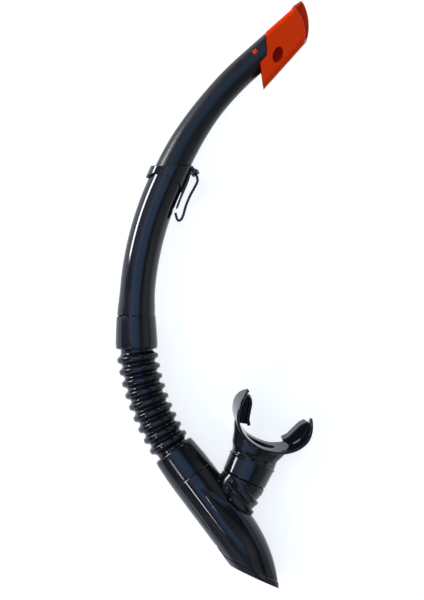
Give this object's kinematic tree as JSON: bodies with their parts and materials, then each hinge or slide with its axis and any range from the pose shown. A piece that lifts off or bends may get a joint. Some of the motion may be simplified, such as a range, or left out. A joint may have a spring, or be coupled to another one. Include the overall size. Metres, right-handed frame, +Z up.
{
  "type": "snorkel",
  "caption": "Diving snorkel with an orange splash guard, a curved black barrel, a strap keeper, a ribbed hose, a purge housing and a swivelling mouthpiece.",
  "frame": {"origin": "on the surface the snorkel lies on, under the middle of its box", "axes": "+Y runs up the barrel to the splash guard, +X points to the mouthpiece's side, +Z is up from the surface"},
  "size_m": [0.1468, 0.4304, 0.0436],
  "materials": {
    "gloss_black": "gloss",
    "satin_black": "satin",
    "rubber_black": "satin",
    "guard_orange": "satin",
    "valve_silicone": "satin"
  },
  "bodies": {
    "barrel": {"upper_barrel": "satin_black", "lower_barrel": "gloss_black", "splash_guard": "guard_orange"},
    "keeper": {"keeper_ring": "gloss_black"},
    "clip": {"keeper_clip": "gloss_black"},
    "hose": {"flex_hose": "rubber_black"},
    "housing": {"lower_housing": "gloss_black", "purge_seat": "satin_black", "purge_cover": "gloss_black", "neck_sleeve": "rubber_black", "swivel_seal": "rubber_black"},
    "valve": {"purge_valve": "valve_silicone"},
    "mouthpiece": {"mouthpiece": "rubber_black", "swivel_ring": "satin_black"}
  },
  "joints": [
    {"name": "keeper_turn", "type": "hinge", "parent": "barrel", "child": "keeper", "pos_m": [-0.03428, 0.08812, 0.0173], "axis": [0.3987, 0.9171, 0], "continuous": true},
    {"name": "clip_flex", "type": "hinge", "parent": "keeper", "child": "clip", "pos_m": [-0.01511, 0.08982, 0.0173], "axis": [0, 0, 1], "range_deg": [0, 10], "stiffness_Nm_per_rad": 0.02},
    {"name": "hose_bend", "type": "hinge", "parent": "barrel", "child": "hose", "pos_m": [-0.05618, -0.05848, 0.0173], "axis": [0, 0, 1], "range_deg": [-40, 30], "stiffness_Nm_per_rad": 0.6, "deforming": ["flex_hose"]},
    {"name": "hose_sway", "type": "hinge", "parent": "hose", "child": "housing", "pos_m": [-0.04386, -0.09427, 0.0173], "axis": [0.8831, 0.4692, 0], "range_deg": [-25, 25], "stiffness_Nm_per_rad": 0.8, "deforming": ["flex_hose"]},
    {"name": "purge_lift", "type": "slide", "parent": "housing", "child": "valve", "axis": [-0.4286, -0.9035, 0], "range_m": [0, 0.0013], "stiffness_N_per_m": 5},
    {"name": "mouthpiece_swivel", "type": "hinge", "parent": "housing", "child": "mouthpiece", "pos_m": [0.02075, -0.13512, 0.0173], "axis": [0.4226, 0.9063, 0], "continuous": true}
  ]
}
